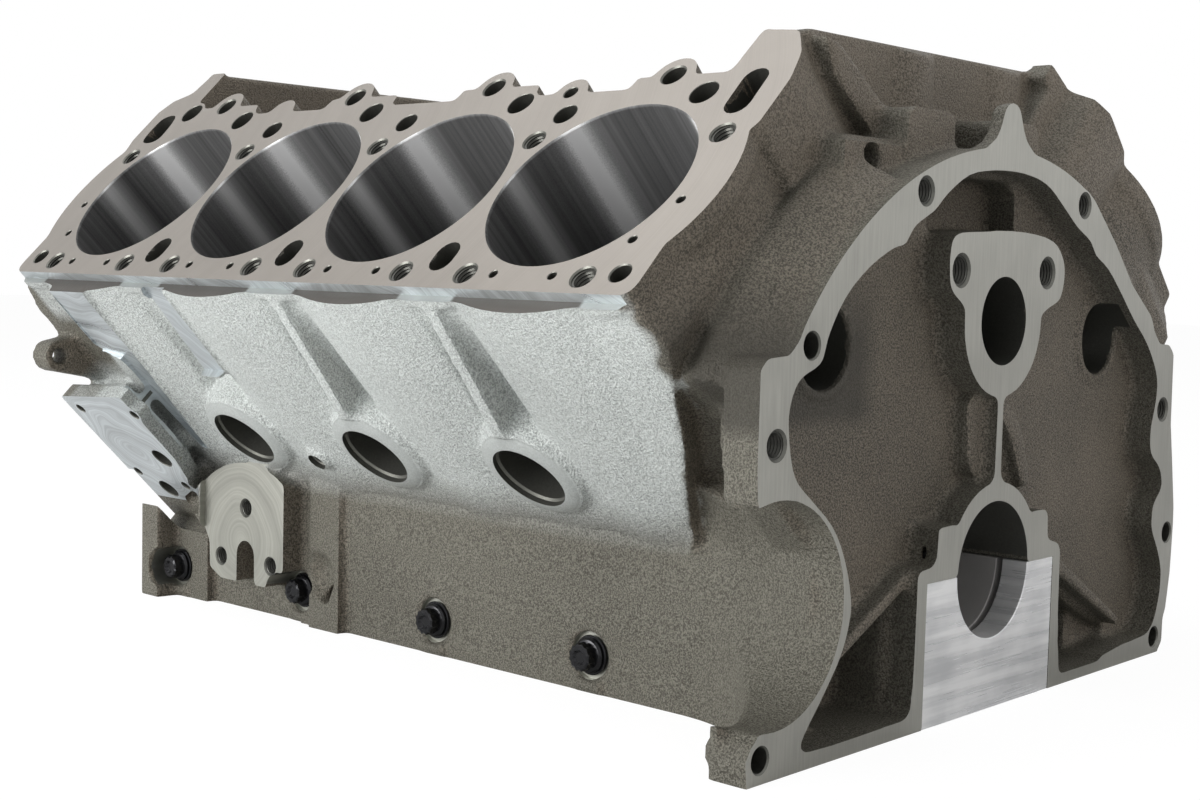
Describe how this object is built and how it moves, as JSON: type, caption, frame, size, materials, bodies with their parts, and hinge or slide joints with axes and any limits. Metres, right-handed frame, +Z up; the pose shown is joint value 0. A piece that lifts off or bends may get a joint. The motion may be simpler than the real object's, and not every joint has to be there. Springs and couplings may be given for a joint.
{
  "type": "engine block",
  "caption": "Cast engine block with two banks of cylinders in a vee, cross-bolted main bearing caps and a flat rear flange for the gearbox.",
  "frame": {"origin": "crankshaft axis at the rear flange face", "axes": "+Y along the crankshaft towards the front of the engine, +Z up, the bank at -X is the one seen in the picture"},
  "size_m": [0.4945, 0.569, 0.3486],
  "materials": {
    "cast_iron_body": "shot blasted casting with milled faces and honed bores",
    "cap_iron": "machined all over",
    "milled_alloy": "bright milled",
    "black_washer": "black oxide",
    "black_bolt": "black oxide"
  },
  "bodies": {
    "root": {"block_casting": "cast_iron_body", "main_cap_1": "cap_iron", "main_cap_2": "cap_iron", "main_cap_3": "cap_iron", "main_cap_4": "cap_iron", "main_cap_rear": "cap_iron", "rear_seal_retainer": "milled_alloy", "main_bolts_1": "black_bolt", "main_bolts_2": "black_bolt", "main_bolts_3": "black_bolt", "main_bolts_4": "black_bolt", "main_bolts_rear": "black_bolt", "main_washers_1": "black_washer", "main_washers_2": "black_washer", "main_washers_3": "black_washer", "main_washers_4": "black_washer", "main_washers_rear": "black_washer", "cross_bolts_1": "black_bolt", "cross_bolts_2": "black_bolt", "cross_bolts_3": "black_bolt", "cross_bolts_4": "black_bolt", "cross_washers_1": "black_washer", "cross_washers_2": "black_washer", "cross_washers_3": "black_washer", "cross_washers_4": "black_washer", "retainer_bolts": "black_bolt"}
  },
  "joints": []
}
